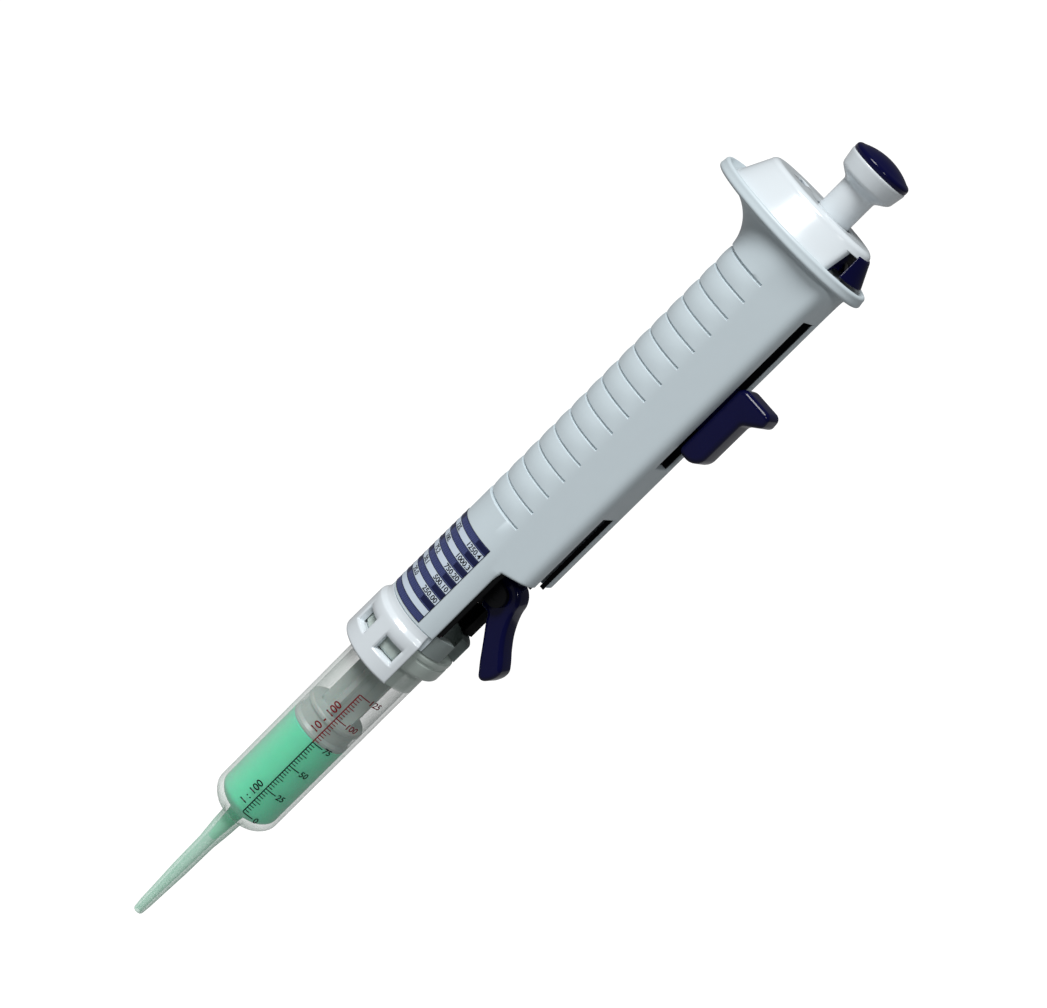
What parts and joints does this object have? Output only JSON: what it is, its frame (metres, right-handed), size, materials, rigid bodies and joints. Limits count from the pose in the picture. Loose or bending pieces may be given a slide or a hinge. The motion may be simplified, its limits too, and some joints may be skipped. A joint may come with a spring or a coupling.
{
  "type": "repeating pipette",
  "caption": "Hand-held repeating pipette with ribbed grip, finger flange, thumb button, filling slider, lock lever, selector and clipped-in syringe.",
  "frame": {"origin": "on the long axis at the nozzle outlet", "axes": "+Z along the instrument towards the thumb button, +X to the front with slider, lever and selector"},
  "size_m": [0.0605, 0.0348, 0.3028],
  "materials": {
    "body_abs": "fine satin moulded ABS",
    "white_abs": "polished moulded ABS",
    "navy_abs": "polished moulded ABS",
    "black_abs": "moulded ABS",
    "smoke_pp": "moulded polypropylene",
    "clear_pp": "translucent polypropylene",
    "piston_pe": "moulded polyethylene",
    "clear_lens": "clear moulded lens",
    "steel": "plain stainless steel"
  },
  "bodies": {
    "housing": {"housing": "body_abs", "syringe_collar": "white_abs", "syringe_latch": "smoke_pp", "inner_frame": "black_abs", "frame_screws": "steel", "head_cover": "white_abs", "dial_window": "clear_lens", "detent_ball": "steel", "detent_spring": "steel", "plunger_bush": "steel", "return_spring": "steel", "syringe_barrel": "clear_pp"},
    "carriage": {"rack_bar": "navy_abs", "piston_gripper": "black_abs", "fill_slider": "navy_abs", "slider_screws": "steel", "lever_pin": "steel", "piston_rod": "piston_pe", "piston_seal": "piston_pe"},
    "lever": {"lock_lever": "navy_abs"},
    "plunger": {"plunger_button": "white_abs", "button_cap": "navy_abs", "push_rod": "steel", "retaining_clip": "steel", "pawl_carrier": "black_abs", "pawl_pin": "steel", "pawl_spring": "steel"},
    "pawl": {"pawl": "steel"},
    "selector": {"selector_dial": "navy_abs"}
  },
  "joints": [
    {"name": "fill_slide", "type": "slide", "parent": "housing", "child": "carriage", "axis": [0, 0, 1], "range_m": [-0.015, 0.025]},
    {"name": "lever_swing", "type": "hinge", "parent": "carriage", "child": "lever", "pos_m": [0.0105, 0, 0.147], "axis": [0, -1, 0], "range_deg": [0, 50]},
    {"name": "plunger_press", "type": "slide", "parent": "housing", "child": "plunger", "axis": [0, 0, -1], "range_m": [0, 0.008], "stiffness_N_per_m": 400, "springref_m": -0.004, "deforming": ["return_spring"]},
    {"name": "pawl_swing", "type": "hinge", "parent": "plunger", "child": "pawl", "pos_m": [0.0014, 0, 0.211], "axis": [0, -1, 0], "range_deg": [0, 3]},
    {"name": "selector_turn", "type": "hinge", "parent": "housing", "child": "selector", "pos_m": [0, 0, 0.274], "axis": [0, 0, 1], "range_deg": [-16, 16]}
  ],
  "couplings": [
    {"joint": "pawl_swing", "follows": "plunger_press", "rad_per_m": 6.5449}
  ]
}
